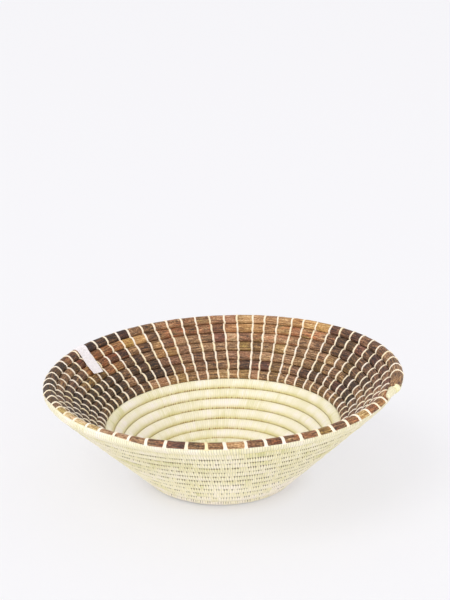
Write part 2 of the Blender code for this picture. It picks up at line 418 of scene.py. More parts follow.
def binderFinish():
    # the cream strips over the bark, their fibres along them
    finish = Finish("cream_binder")
    along, across = finish.lie()
    fibre = finish.noise(across, along, binderLook["fibreStep"], binderLook["fibreRun"])
    colour = finish.blend(binderLook["pale"], binderLook["yellow"], finish.field("yellow"))
    colour = finish.shade(colour, mixed(*binderLook["fibreLight"], fibre))
    # painted shade where the stitch dips into the groove between rows
    colour = finish.shade(colour, mixed(*binderLook["grooveShadeLevels"], finish.field("groove")))
    finish.show({"Base Color": colour, "Roughness": binderLook["roughness"],
                 "Normal": finish.bump(fibre, binderLook["relief"])})
    return finish


barkLook = {
    "browns": [(0, 46, 32, 22), (0.25, 96, 67, 43), (0.5, 150, 111, 74), (0.75, 198, 158, 116),
               (1, 242, 214, 172)],
    "golds": [(0, 122, 76, 38), (0.35, 186, 134, 76), (0.65, 222, 178, 116), (1, 246, 218, 166)],
    "goldShift": -0.06, "redWash": tint(255, 190, 164), "oliveWash": tint(224, 226, 172),
    "mauveWash": tint(222, 196, 216), "grooveShadeTint": tint(74, 42, 26),
    # streak, thread, fleck, patch and crack, the first in more detail
    "noises": ((0.017, 0.0016, 0, 4), (0.009, 0.0008, 3.0), (0.0024, 0.001, 5.0), (0.016, 0.005, 9.0),
               (0.02, 0.0016, 13.0)),
    "lightGains": (1.4, 1.1, 1.3), "reliefGains": (0.5, 0.3, 0.3),
    # the field's gain, and the level and gain of patches
    "patches": {"gold": (1.1, 0.6, 1.6), "red": (1.3, 0.62, 2.4), "olive": (1, 0.42, -2.4)},
    "crackLevel": 0.62, "crackGain": 9, "crackShare": 0.6, "roughness": (0.42, 0.82),
    "relief": 0.0012,
}


def barkFinish():
    # fibrous bark, streaked along the row
    look = barkLook
    finish = Finish("fibrous_bark")
    streak, thread, fleck, patch, crack = finish.noises(look["noises"])
    shares = {key: (gain * finish.field(key) + patch.past(level, patchGain)).held()
              for key, (gain, level, patchGain) in look["patches"].items()}
    grains = (streak, thread, fleck)
    light = [grain.past(0.5, gain) for grain, gain in zip(grains, look["lightGains"])]
    tone = finish.field("tone") + sum(light)
    colour = finish.ramp(tone, look["browns"])
    colour = finish.blend(colour, finish.ramp(tone + look["goldShift"], look["golds"]), shares["gold"])
    colour = finish.wash(colour, look["redWash"], shares["red"])
    colour = finish.wash(colour, look["oliveWash"], shares["olive"])
    colour = finish.wash(colour, look["mauveWash"], (-1 * finish.field("olive")).held())
    crack = look["crackShare"] * crack.past(look["crackLevel"], look["crackGain"]).held()
    # painted shade at the bark's grooves between rows; the same dark tint also colours the bark's own
    # cracks
    colour = finish.blend(colour, look["grooveShadeTint"], (crack + finish.field("groove")).held())
    relief = sum(gain * grain for grain, gain in zip(grains, look["reliefGains"]))
    finish.show({"Base Color": colour, "Roughness": mixed(*look["roughness"], thread),
                 "Normal": finish.bump(relief, look["relief"])})
    return finish


tag = {
    "width": 0.017, "insideLength": 0.034, "thickness": 0.0005, "azimuth": radians(152),
    "outerAngle": radians(245), "arcRadius": 0.0073, "skew": radians(11), "pivot": 0.4,
    "endLift": 0.0014, "stations": 61, "across": 19,
    "narrow": 0.97,  # the width over the rim, and from where it widens to full
    "widens": (0.04, 0.02), "cornerLift": 0.004, "cornerLifts": (0.035, 0.02), "wave": 0.00025,
    "waveRun": 0.0045, "waveSkew": 3, "waveStart": 0.02, "selvedge": 0.00012, "selvedgeAt": 0.44,
    "threadStep": 0.00045, "threadShare": 0.25, "fuzzStep": 0.002, "relief": 0.00015,
    "white": tint(255, 251, 251), "shadow": tint(236, 220, 220), "roughness": 0.8,
}


def tagFinish():
    # plain woven tape
    finish = Finish("woven_tape")
    along, across = finish.lie()
    weave = 0.5
    for way in (along, across):
        weave = weave + tag["threadShare"] * (way * (fullTurn / tag["threadStep"])).sine()
    fuzz = finish.noise(along, across, tag["fuzzStep"], tag["fuzzStep"])
    colour = finish.blend(tag["shadow"], tag["white"], (weave * 0.5 + fuzz).held())
    finish.show({"Base Color": colour, "Roughness": tag["roughness"],
                 "Normal": finish.bump(weave, tag["relief"])})
    return finish


palm = palmFinish()
binder = binderFinish()
bark = barkFinish()
tape = tagFinish()
print("finishes made")


# The wrapped coil

wrap = {
    "width": 0.0025,  # one pass of the palm strip along the coil
    "vary": 0.2,
    "spare": 1.3,  # passes drawn for each that fits
    "stations": (0.0, 0.22, 0.5, 0.78), "holeStations": (1.0, 0.34, 0.0, 0.2),
    "endLengths": (-0.0022, -0.0018, -0.001), "endShares": (0.5, 0.78, 0.94),
    "insideValley": 0.00012, "outsideValley": 0.00028,
    "downShare": 0.4,  # of each dent, down the wall
    "lift": 0.00008, "swell": 0.00028, "swellRun": 0.021, "slant": 0.0006, "halfIn": 0.006,
    "halfOut": 0.0053, "facedIn": 0.005,
    "roundHeight": 3,  # floor heights up to where the outside is fully round
    "powers": (2.35, 3.0),  # how square the section is inside and outside
    "fill": 0.52,
    "underBark": 0.0006,  # how far the rim's wrap lies back under the bark
    "underBarkAt": (0.72, 0.15), "reachRadius": 0.0059, "stripLengths": (0.014, 0.055), "strips": 900,
    "tones": (0.15, 0.55),  # least, and range
    "toneBends": (2.0, 2.4), "passTone": 0.1, "endShadeTone": 0.75, "endPasses": 4, "footTop": 0.06,
    "seed": 11,
}
# The marks on it. Most pairs give a start and a span, by the cosine of the angle
marks = {
    "holeShare": 0.75, "holeSizes": (0.4, 1), "holeDepth": 0.0006, "upperHoles": (0.4, 0.35),
    "lowerHoles": (0.8, 0.18), "innerHoles": (0.66, 0.16), "innerLeast": 0.2,
    "rimTurns": 1.3,  # the groove under the rim row hardly shows its holes
    "rimHoles": 0.25, "grooves": (0.93, 0.05), "outerGroove": 0.3,
    "innerGroove": (0.45, 0.1),  # in front and at the back
    "edges": (0.05, 0.85), "upperEdge": 0.35,
    # painted light: at the foot the marks are made fainter
    "footLightShares": {"edge": 0.4, "seam": 0.5, "hole": 0.65, "groove": 0.4}, "backAzimuth": 96,
    "backSpread": 40,
    "shadeTurns": (-0.525, 1.5),  # painted shade: the outside is made a little darker, but for the rim and the foot
    # painted light at the foot and a painted highlight on the inner crests, both as paler tones
    "shadeHeights": (0.025, 0.05), "footLightTone": -0.25, "crestHighlightTone": -0.08,
    "belowBarkShade": 0.14,  # painted shade: the inside is yellower and darker just below the bark
    "barkTurns": (7.2, 1),
    "middleTone": 0.21,  # the inside is also yellower in the middle of the floor
    "middleTurns": (11, 3),
}
outerAngles = [180, 194, 208, 224, 246, 270, 294, 316, 332, 346]
wholeAngles = np.radians([0, 13, 28, 48, 69, 90, 111, 132, 152, 167] + outerAngles)
rearAngles = np.radians([0, 30, 90, 150] + outerAngles)


def wrapLengths():
    # where each pass of the strip starts, from the coil's end
    count = int(lengthAt[-1] / wrap["width"] * wrap["spare"])
    widths = wrap["width"] * (1 + wrap["vary"] * seeded(wrap["seed"]).uniform(-1, 1, count))
    starts = np.concatenate([[0], np.cumsum(widths)])
    return starts[starts < lengthAt[-1] + wrap["width"]]


wrapStarts = wrapLengths()
passes = len(wrapStarts)
wrapSource = seeded(wrap["seed"] + 1)
wrapLift = wrapSource.normal(0, wrap["lift"], passes)
wrapHole = np.where(wrapSource.uniform(0, 1, passes) < marks["holeShare"],
                    wrapSource.uniform(*marks["holeSizes"], passes), 0)


def stripTones():
    # each palm strip lasts a few centimetres of coil and has a colour of its own
    source = seeded(wrap["seed"] + 2)
    ends = np.cumsum(source.uniform(*wrap["stripLengths"], wrap["strips"]))
    least, spread = wrap["tones"]
    tones = least + spread * source.beta(*wrap["toneBends"], wrap["strips"])
    tones = tones[np.searchsorted(ends, wrapStarts)] + source.normal(0, wrap["passTone"], passes)
    # painted shade: the last passes at the coil's end, in the bark's opening, are made yellower and
    # darker
    tones[:wrap["endPasses"]] = wrap["endShadeTone"]
    return tones


wrapTone = stripTones()


def wrapStations(firstTurn, lastTurn):
    # the coil's sections, and for each its pass, seam, stitch hole and narrowing at the end
    first, last = lengthOf(firstTurn), lengthOf(lastTurn)
    chosen = np.nonzero((wrapStarts[:-1] >= first - wrap["width"]) & (wrapStarts[:-1] < last))[0]
    shares = np.array(wrap["stations"])
    spans = wrapStarts[chosen + 1] - wrapStarts[chosen]
    lengths = (wrapStarts[chosen][:, None] + spans[:, None] * shares).ravel()
    kept = (lengths > first) & (lengths < last)
    ends, blunt = (wrap["endLengths"], wrap["endShares"]) if firstTurn == 0 else ([], [])
    lengths = np.concatenate([ends, [first], lengths[kept], [last]])
    padding = (len(ends) + 1, 1)
    number = np.pad(np.repeat(chosen, len(shares))[kept], padding, mode="edge")
    seam, spot = [np.pad(np.tile(values, len(chosen))[kept], padding)[:, None]
                  for values in (1.0 * (shares == 0), wrap["holeStations"])]
    blunt = np.append(blunt, np.ones(len(lengths) - len(ends)))[:, None]
    return lengths, number, seam, spot, blunt


def coilSkin(firstTurn, lastTurn, angles, faced):
    # the wrapped coil between two places, counted in turns back from its end
    lengths, number, seam, spot, blunt = wrapStations(firstTurn, lastTurn)
    turns = turnsAt(lengths)
    ways = coilFrame(turns)
    height = ways[0][:, 2:3]
    halfBelow, halfAbove = [half[:, None] for half in ways[4:]]
    raised = np.clip(height / (wrap["roundHeight"] * floorHeight), 0, 1)
    swell = wrap["swell"] * lattice(lengths / wrap["swellRun"], turns, wrap["seed"] + 3)[:, None]
    halfOut = mixed(floorHeight, wrap["halfOut"] + swell, raised)
    halfIn = wrap["facedIn"] if faced else wrap["halfIn"] + swell
    fill = 0 if faced else wrap["fill"]
    x, y = oval(angles, halfBelow, halfAbove, halfIn, halfOut, wrap["powers"], fill)

    turns = turns[:, None]
    cosine, sine = np.cos(angles), np.sin(angles)
    outside = sine < -small
    rimTop = (turns < 1) & (cosine < 0)
    foot = outside * (1 - smooth(height / wrap["footTop"]))
    # on the inside the stitch holes show best at the back, and the grooves least
    azimuth = np.degrees(azimuthOf(turns)) % 360
    back = np.exp(-((azimuth - marks["backAzimuth"]) / marks["backSpread"]) ** 2)
    # painted shade: where the stitch holes are darkened
    outerHoles = np.maximum(eased(-cosine, *marks["upperHoles"]), eased(cosine, *marks["lowerHoles"]))
    innerHoles = eased(cosine, *marks["innerHoles"]) * mixed(marks["innerLeast"], 1, back)
    hole = np.where(outside, outerHoles * raised, innerHoles) * (wrapHole[number][:, None] * spot)
    hole = hole * np.where(outside & (turns - (cosine < 0) < marks["rimTurns"]), marks["rimHoles"], 1)
    # painted shade in the grooves between rows, on the inside strongest in front
    groove = eased(np.abs(cosine), *marks["grooves"])
    groove = groove * np.where(outside, marks["outerGroove"], mixed(*marks["innerGroove"], back))
    # painted shade on the sides of each row, less on the upper side
    edge = eased(np.abs(cosine), *marks["edges"]) * np.where(cosine > 0, 1, marks["upperEdge"])
    hole, groove, edge = [np.where(rimTop, 0, mark) for mark in (hole, groove, edge)]

    offset = wrapLift[number][:, None] * (1 - seam)
    offset = offset - np.where(outside, wrap["outsideValley"], wrap["insideValley"]) * seam
    offset = offset - marks["holeDepth"] * hole * outside
    offset = offset - wrap["underBark"] * rimTop * eased(-cosine, *wrap["underBarkAt"])
    x = (x + offset * cosine * wrap["downShare"]) * blunt
    y = (y + offset * sine * np.where(faced & ~outside, 0, 1)) * blunt
    points = placed(ways, x, y, wrap["slant"] * x / halfBelow)

    fields = {"edge": edge, "seam": seam, "hole": hole, "groove": groove}
    # painted light: at the outside's foot the marks are fainter and the strip paler
    fields = {key: mark * mixed(1, marks["footLightShares"][key], foot) for key, mark in fields.items()}
    # painted highlight: the crests inside are made paler
    inner = marks["crestHighlightTone"] * (1 - fields["edge"])
    # painted shade: just below the bark the inside is yellower and darker
    inner = inner + marks["belowBarkShade"] * (1 - eased(turns, *marks["barkTurns"]))
    inner = inner + marks["middleTone"] * eased(turns, *marks["middleTurns"])
    tone = wrapTone[number][:, None] + marks["footLightTone"] * foot + ~outside * inner
    # painted shade on the outside wall, less towards the rim and the foot
    shaded = outside * eased(turns, *marks["shadeTurns"]) * eased(height, *marks["shadeHeights"])
    fields.update(strip=tone, inside=~outside, outside=shaded)
    return points, laid(lengths, wrap["reachRadius"] * np.append(angles, fullTurn)), fields


def coilPieces():
    joint = route["floorJoint"]
    for name, first, last, angles, node, bandLength in (
            ("upper_wall_rows_1_to_3", 0, 3, rearAngles, "upper_wall_coil", 600),
            ("upper_wall_rows_4_to_7", 3, facedRows, rearAngles, "upper_wall_coil", 600),
            ("lower_wall_rows", facedRows, joint, wholeAngles, "lower_wall_coil", 600),
            ("floor_rows", joint, totalTurns, wholeAngles, "floor_coil", 450)):
        tube = coilSkin(first, last, angles, last <= facedRows)
        makePiece(name, [tube], palm, [node], bandLength=bandLength)


coilPieces()
print("coil wound:", round(totalTurns, 2), "turns,", round(lengthAt[-1], 2), "m")


# The curl that the coil starts from, in the middle of the floor

curl = {
    "turns": 2.0, "fullTurns": 0.35, "tipHalf": 0.002, "tipRise": 0.6, "wrapWidth": 0.0016,
    "seamDepth": 0.03, "steps": 260, "closeSteps": 6, "tones": (0.4, 0.2), "toneRun": 0.02,
    "edges": (0.3, 0.7), "seed": 23,
}


def curlHalf(turns):
    half = route["plainPitch"] / 2
    share = eased(turns, curl["fullTurns"], curl["turns"] - curl["fullTurns"])
    return np.where(turns < 0, half, mixed(half, curl["tipHalf"], share))


def curlRadius(turns):
    # each turn lies against the inner side of the one before
    before = turns - 1
    earlier = route["startRadius"] - route["plainPitch"] * before
    if np.any(before >= 0):
        earlier = np.where(before < 0, earlier, curlRadius(np.minimum(before, 1 - small)))
    return earlier - curlHalf(before) - curlHalf(turns)


def startCurl():
    turns = np.linspace(0, curl["turns"], curl["steps"])
    azimuth = azimuthOf(totalTurns + turns)
    radius, half = curlRadius(turns), curlHalf(turns)
    size = half / curlHalf(0)
    height = floorHeight * mixed(curl["tipRise"], 1, size)
    centre = np.stack([radius * np.cos(azimuth), radius * np.sin(azimuth), height], -1)
    along = unit(np.gradient(centre, axis=0))
    down = squareTo(along, -np.stack([np.cos(azimuth), np.sin(azimuth), 0 * azimuth], -1))
    lengths = runLengths(centre)
    x, y = oval(wholeAngles, half[:, None], half[:, None], (wrap["halfIn"] * size)[:, None],
                height[:, None], wrap["powers"], wrap["fill"])
    seam = (0.5 + 0.5 * np.cos(lengths * fullTurn / curl["wrapWidth"]))[:, None]
    shrunk = closing(len(turns), curl["closeSteps"]) * (1 - curl["seamDepth"] * seam)
    points = placed((centre, along, down, np.array([[0, 0, 1]])), x * shrunk, y * shrunk)
    tone, spread = curl["tones"]
    tone = tone + spread * lattice(lengths / curl["toneRun"], 0, curl["seed"])
    # the curl's edge field carries the same painted shade on the sides of its rows
    fields = {"strip": tone[:, None], "edge": eased(np.abs(np.cos(wholeAngles)), *curl["edges"]),
              "seam": seam, "inside": 1}
    lie = laid(lengths, wrap["reachRadius"] * np.append(wholeAngles, fullTurn))
    makePiece("start_curl", [(points, lie, fields)], palm, ["coil_start"], bandLength=65)


startCurl()
print("start curled")


# Where the binder stitches cross the bark

stitch = {
    "perTurn": 64, "phase": radians(-7.98), "sway": radians(2.99),
    "swayAt": radians(51), "ripple": radians(0.55), "ripples": 3, "rippleAt": radians(129),
    "drift": radians(0.5),  # how far a column moves round from row to row
    "jitter": radians(0.3), "rowJitter": radians(0.12), "lowAngle": radians(-7),
    "highAngle": radians(187), "rimReach": radians(23),
    "reachShare": 0.75,  # of the rim bark's own reach
    "stations": 17, "crestWidth": 0.0027, "grooveWidth": 0.0018, "widthPower": 0.7,
    "widths": (0.88, 1.14),
    "frontWidth": 0.45,  # added at the front, where the rim's outside is seen
    "flare": 1.1, "flareAngles": (radians(184), radians(26)), "flarePower": 1.5,
    "height": 0.001,
    "sink": 0.8,  # into the bark's crease
    "wobble": 0.0003, "wobbleRate": 3.1, "shift": 0.00012,
    "profile": ((-1, -0.3), (-0.72, 0.72), (0, 1), (0.72, 0.72), (1, -0.3), (0, -0.8)),
    "lieStops": (-1, -0.7, 0, 0.7, 1, 0, -1),
    "liePerTurn": 3,  # sets each stitch apart in the fibres' pattern
    "grooves": (0.8, 0.2), "yellow": (0.3, 0.2), "seed": 31,
}


def stitchTurns():
    count = stitch["perTurn"] * facedRows
    number = np.arange(count)
    column = fullTurn * number / stitch["perTurn"]
    source = seeded(stitch["seed"])
    perColumn = np.tile(source.normal(0, stitch["jitter"], stitch["perTurn"]), facedRows)
    perStitch = source.normal(0, stitch["rowJitter"], count)
    azimuth = (stitch["phase"] + column + stitch["sway"] * np.cos(column - stitch["swayAt"])
               + stitch["ripple"] * np.cos(stitch["ripples"] * column - stitch["rippleAt"])
               - stitch["drift"] * number / stitch["perTurn"] + perColumn + perStitch)
    return (azimuth - route["endAzimuth"]) / fullTurn


stitchPlaces = stitchTurns()


def rowTurns(row, start=0):
    # where a row of bark begins and ends
    early = 1 / route["pointsPerTurn"]
    first = row - early if row else start
    return first, row + 1 - early if row < facedRows - 1 else facedRows


# The bark strips

strip = {
    "outerPoints": 24, "innerPoints": 9, "baySteps": 12, "halfIn": 0.0064, "rimAbove": 0.0064,
    "rimOut": 0.006, "rowShare": 0.985, "lowAngle": radians(5), "highAngle": radians(175),
    "rimHighAngle": radians(200), "powers": (2.5, 2.5), "fill": 0.36,
    "endReach": radians(10), "endReachAt": (0.86, 0.1), "shortReach": radians(42),
    "shortReachAt": (0.86, 0.12), "shortAzimuth": radians(220), "freeEnd": (0.985, 0.012),
    "thickness": 0.0007, "edgeThickness": 0.0002, "edgePower": 6, "crease": 0.0005,
    "creaseWidth": 0.0017, "baySwell": 0.00012, "ridge": 0.00026,
    "ridges": ((1, 0.009, 0.0016, 50), (0.5, 0.004, 0.0008, 60)),  # share, steps and seed
    "bluntLength": 0.0022, "bluntRun": 2.2, "bluntShare": 0.62, "grooves": (0.92, 0.06),
    "grooveShare": 0.6, "rimGrooveEnd": radians(150), "reachRadius": 0.0062, "tone": 0.4,
    "bayTone": 0.07, "bayTint": 0.35, "driftTone": 0.08, "driftBays": 4.0,
    "bays": 600,  # random values drawn, more than a row has bays
    "seed": 41,
}


def rimReach(turns):
    # the rim's bark reaches further down the outside near the coil's end, and less far opposite
    azimuth = azimuthOf(turns)
    near = eased(np.cos(azimuth - route["leanAzimuth"]), *strip["endReachAt"])
    far = eased(np.cos(azimuth - strip["shortAzimuth"]), *strip["shortReachAt"])
    return strip["endReach"] * near - strip["shortReach"] * far


def freeShare(turns):
    # 1 where no row lies above: round the rim, and on the row below up to the coil's end
    return 1 - eased(turns, *strip["freeEnd"])


def barkSection(angles, free, halfBelow, halfAbove):
    # the bark's outer face, before its creases and ridges, and the ways out of it
    above = strip["rimAbove"] * free + halfAbove * strip["rowShare"] * (1 - free)
    fill = strip["fill"] * (1 - free * (np.cos(angles) < 0))
    x, y = oval(angles, halfBelow * strip["rowShare"], above, strip["halfIn"], strip["rimOut"],
                strip["powers"], fill)
    above = strip["rimAbove"] * free + halfAbove * (1 - free)
    outX = x / np.where(x >= 0, halfBelow, above) ** 2
    outY = y / np.where(y >= 0, strip["halfIn"], strip["rimOut"]) ** 2
    size = np.hypot(outX, outY)
    return x, y, outX / size, outY / size


# Runs of bark of one colour, by first and last row: first and last azimuth in degrees, then in
# hundredths how much lighter, golden, red and olive, or mauve below zero
barkRuns = {
    # the broad dark runs on the sides, most of all on the left from 142 to 250, are partly painted shade
    # on the side walls and partly the bark's own darker colour
    (1, 3): [(158, 250, -31, 0, 0, 70)],
    (1, 6): [(0, 42, -12, 0, 10, -40), (300, 360, -8, 0, 10, -40)],
    (4, 6): [(142, 250, -30, 12, 0, 70)],
    (0, 0): [(342, 352, 0, 35), (352, 360, -3, 10, 0, 30), (0, 30, -8, 0, 10, -40),
        (30, 46, -16, 0, 10, -50), (46, 63, 9, 90), (63, 89, 8, 50), (89, 115, 4, 10, 35),
        (115, 128, -10, 0, 10), (128, 151, -31, 0, 0, -30), (151, 166, -14, 0, 40),
        (166, 206, -28, 0, 0, 70), (206, 232, 40, 0, 0, 60), (232, 250, 10, 5, 15),
        (250, 262, -2, 0, 30), (262, 275, -6, 35, 0, 20), (275, 286, -16, 0, 50),
        (286, 298, -4, 10, 40), (298, 304, 12, 15, 0, 50), (304, 310, -3, 0, 30), (310, 316, 7, 10, 50),
        (316, 321, 8, 60, 0, 20), (321, 331, 5, 50, 50)],
    (1, 1): [(158, 178, -17, 20, 10, 30), (178, 215, -14, 0, 0, 20), (321, 331, 5, 50, 50),
        (331, 337, 4, 65, 0, 30), (337, 342, 3, 10, 50), (8, 28, -14, 0, 10, -50),
        (28, 38, -32, 0, 0, 30), (38, 48, -12, 0, 40), (48, 62, 8, 20, 50), (62, 72, 10, 45, 30),
        (72, 90, 9, 80), (90, 116, 4, 10, 50), (116, 123, -10), (123, 131, 5, 90, 0, 60),
        (131, 151, -18, 70, 35), (151, 158, -18, 20, 60)],
    (2, 2): [(158, 200, -22, 0, 0, -10), (15, 40, -12, 0, 10), (58, 76, 8, 10, 40),
        (76, 98, 4, 0, 30, -35), (98, 116, 4, 0, 20), (116, 123, 0, 40, 0, 30), (123, 131, -12, 30),
        (131, 139, -20, 0, 60), (139, 152, -22, 50, 55), (152, 158, -12, 60, 45)],
    (3, 3): [(20, 52, -6, 10, 0, 30), (2, 12, -24, 0, 0, 60), (60, 97, 4, 15, 0, 35),
        (108, 121, 0, 60, 0, 10), (121, 138, -18), (138, 150, -19, 70, 20, 10),
        (150, 166, -10, 30, 0, 70)],
    (4, 4): [(20, 55, 4, 10, 0, 50), (55, 112, 6, 0, 15), (118, 142, -25, 0, 0, 20)],
    (5, 5): [(0, 16, -30, 0, 0, 70), (28, 50, -16), (67, 79, -16, 0, 10, -80), (79, 116, 6, 5, 30),
        (116, 134, -24, 0, 0, 15)],
    (6, 6): [(15, 70, -2, 5, 0, 20), (70, 128, 6, 30, 0, 30), (128, 142, -18, 0, 0, 10)],
}


def bayLooks(number, row):
    # how light, golden, red and olive each bay is, from its run and a little by itself
    bounds = np.concatenate([[0], stitchPlaces, [facedRows]])
    azimuth = np.degrees(azimuthOf((bounds[number] + bounds[number + 1]) / 2)) % 360
    looks = np.zeros((4, len(number)))
    for (firstRow, lastRow), runs in barkRuns.items():
        for first, last, *shares in runs if firstRow <= row <= lastRow else ():
            inRun = (azimuth > first) & (azimuth < last)
            looks[:, inRun] = 0
            looks[:len(shares), inRun] = np.array(shares)[:, None] / 100
    source = seeded(strip["seed"] + 7)
    looks[0] += strip["tone"] + source.normal(0, strip["bayTone"], strip["bays"])[number]
    looks[3] += source.normal(0, strip["bayTint"], strip["bays"])[number]
    drift = lattice(number / strip["driftBays"], row, strip["seed"] + 8)
    looks[0] += strip["driftTone"] * drift
    return looks


def barkRow(row):
    first, last = rowTurns(row, turnsAt(-strip["bluntLength"]))
    inside = stitchPlaces[(stitchPlaces > first + small) & (stitchPlaces < last - small)]
    knots = np.concatenate([[first], inside, [last]])
    even = np.arange(strip["baySteps"]) / strip["baySteps"]
    shares = 0.5 * (0.5 - 0.5 * np.cos(np.pi * even)) + 0.5 * even  # closer together at the stitches
    turns = np.append((knots[:-1, None] + np.diff(knots)[:, None] * shares).ravel(), last)
    lengths = lengthOf(turns)
    ways = coilFrame(turns)
    halfBelow, halfAbove = [half[:, None] for half in ways[4:]]
    low, high = strip["lowAngle"], strip["highAngle"] if row else strip["rimHighAngle"]
    angles = np.concatenate([np.linspace(low, high, strip["outerPoints"]),
                             np.linspace(high, low, strip["innerPoints"])])
    free = freeShare(turns)[:, None]
    turned = angles + free * rimReach(turns)[:, None] * eased(angles, quarterTurn, np.pi)
    further = free * (strip["rimHighAngle"] - high)
    turned = turned + further * eased(angles, quarterTurn, high - quarterTurn)
    x, y, outX, outY = barkSection(turned, free, halfBelow, halfAbove)

    toStitch = np.min(np.abs(lengths[:, None] - lengthOf(stitchPlaces)), axis=1)
    crease = np.exp(-(toStitch / strip["creaseWidth"]) ** 2)[:, None]
    number = np.searchsorted(stitchPlaces, turns, side="right")
    own = seeded(strip["seed"] + row).normal(0, strip["baySwell"], strip["bays"])[number][:, None]
    reach = strip["reachRadius"] * angles
    ridge = strip["ridge"] * sum(share * lattice(lengths[:, None] / run, reach / width, seed + row)
                                 for share, run, width, seed in strip["ridges"])
    across = (angles - low) / (high - low)
    middle = np.sin(np.clip(across, 0, 1) * np.pi) ** 0.5
    edge = np.abs(2 * across - 1) ** strip["edgePower"]
    thick = mixed(strip["edgeThickness"], strip["thickness"], 1 - edge)
    offset = (own * (1 - crease) + ridge - strip["crease"] * crease) * middle
    offset = offset - np.where(np.arange(len(angles)) < strip["outerPoints"], 0, thick)
    x, y = x + offset * outX, y + offset * outY
    if row == 0:
        past = (lengths + strip["bluntLength"]) / (strip["bluntRun"] * strip["bluntLength"])
        arch = np.sqrt(1 - (1 - np.clip(past, 0, 1)) ** 2)[:, None]
        blunt = mixed(strip["bluntShare"], 1, arch)
        x, y = x * blunt, y * blunt
    # painted shade along the bark's edges at the grooves between rows
    groove = strip["grooveShare"] * eased(np.abs(np.cos(angles)), *strip["grooves"])
    groove = groove * (1 - free * (angles > strip["rimGrooveEnd"]))
    fields = dict(zip(("tone", "gold", "red", "olive"), bayLooks(number, row)[..., None]), groove=groove)
    tube = placed(ways, x, y), laid(lengths, np.append(reach, reach[-1])), fields
    makePiece(f"bark_row_{row + 1}", [tube], bark, [f"bark_strip_row_{row + 1}"], bandLength=100)


for row in range(facedRows):
    barkRow(row)
print("bark laid on", facedRows, "rows")


# The stitches over the bark

def stitchSkin(place, source):
    free = freeShare(place)
    high = stitch["highAngle"] + free * (stitch["rimReach"] + stitch["reachShare"] * rimReach(place))
    angles = np.linspace(high, stitch["lowAngle"], stitch["stations"])
    ways = coilFrame(place + stitch["drift"] / fullTurn * ((angles - quarterTurn) / np.pi))
    wave = source.uniform(0, fullTurn)
    x, y, outX, outY = barkSection(angles, free, *ways[4:])
    middle = np.sin(np.clip(angles, 0, np.pi))
    overRim = free * (angles > quarterTurn)
    middle = middle + overRim * (1 - middle)
    half = mixed(stitch["grooveWidth"], stitch["crestWidth"], middle ** stitch["widthPower"]) / 2
    half = half * source.uniform(*stitch["widths"])
    front = max(0.0, -math.sin(azimuthOf(place)))
    flare = stitch["flare"] * eased(angles, *stitch["flareAngles"]) ** stitch["flarePower"]
    half = half * (1 + free * (stitch["frontWidth"] * front + flare))
    sideways = stitch["wobble"] * np.sin(wave + stitch["wobbleRate"] * angles)
    sideways = sideways + source.normal(0, stitch["shift"])
    across, up = np.array(stitch["profile"]).T
    lift = (-strip["crease"] * stitch["sink"] * middle)[:, None] + stitch["height"] * up
    x, y = x[:, None] + outX[:, None] * lift, y[:, None] + outY[:, None] * lift
    rings = placed(ways, x, y, -(across * half[:, None] + sideways[:, None]))
    lie = laid(strip["reachRadius"] * angles + place * stitch["liePerTurn"],
               np.array(stitch["lieStops"]) * half[:, None])
    # painted shade where the stitch crosses a groove, not over the rim
    groove = eased(np.abs(np.cos(angles)), *stitch["grooves"]) * (1 - overRim)
    yellow = np.clip(source.normal(*stitch["yellow"]), 0, 1)
    return rings, lie, {"yellow": yellow, "groove": groove[:, None]}


def stitchRow(row):
    source = seeded(stitch["seed"] + 10 + row)
    first, last = rowTurns(row)
    chosen = stitchPlaces[(stitchPlaces >= first) & (stitchPlaces < last)]
    skins = [stitchSkin(place, source) for place in chosen]
    makePiece(f"binder_stitches_row_{row + 1}", skins, binder, cellsAcross=8)


for row in range(facedRows):
    stitchRow(row)
print("stitches sewn:", len(stitchPlaces))


# The wrapped tip, which leaves the coil's blunt end and thins out on the row below

tip = {
    "length": 0.0186, "start": 0.0005, "lead": 0.0045, "rootHalf": 0.0044, "tipHalf": 0.0023,
    "powers": (2.2, 2.2), "steps": 110, "closeSteps": 7, "wrapWidth": 0.0023, "wrapSlant": 0.3,
    "wrapPhase": 1.0, "seamWidth": 0.16, "seamDepth": 0.07, "size": 1.05, "crumple": 0.08,
    "crumpleSteps": (0.0035, 1.1), "reachRadius": 0.0045,
    # the tip takes painted shade: most of the outside's darker wash, and a little on its sides
    "fields": {"strip": 0.5, "edge": 0.2, "outside": 0.7}, "seam": 0.7, "seed": 71,
}


def coilTipWrap():
    along = np.linspace(0, tip["length"], tip["steps"])
    turns = 1 - (along - tip["start"]) / rimLength
    centre, way, down, inward = coilFrame(turns)[:4]
    thinned = np.clip((along - tip["lead"]) / (tip["length"] - tip["lead"]), 0, 1)
    half = mixed(tip["rootHalf"], tip["tipHalf"], thinned)[:, None]
    line = centre - down * (route["facedPitch"] / 2 + half)
    slant = tip["wrapSlant"] * np.sin(wholeAngles + tip["wrapPhase"])
    phase = (along[:, None] / tip["wrapWidth"] + slant) % 1
    seam = np.exp(-(np.minimum(phase, 1 - phase) / tip["seamWidth"]) ** 2)
    x, y = oval(wholeAngles, half, half, half, half, tip["powers"], 0)
    run, turn = tip["crumpleSteps"]
    crumple = tip["crumple"] * lattice(along[:, None] / run, wholeAngles / turn, tip["seed"])
    size = tip["size"] + crumple - tip["seamDepth"] * seam
    size = size * closing(tip["steps"], tip["closeSteps"])
    points = placed((line, way, down, inward), x * size, y * size)
    lie = laid(along, tip["reachRadius"] * np.append(wholeAngles, fullTurn))
    fields = {**tip["fields"], "seam": tip["seam"] * seam[::-1]}
    makePiece("coil_tip_wrap", [(points[::-1], lie[::-1], fields)], palm, ["coil_end_binding"],
              bandLength=55)


coilTipWrap()
print("coil tip wrapped")


# The tag, a blank tape folded over the rim

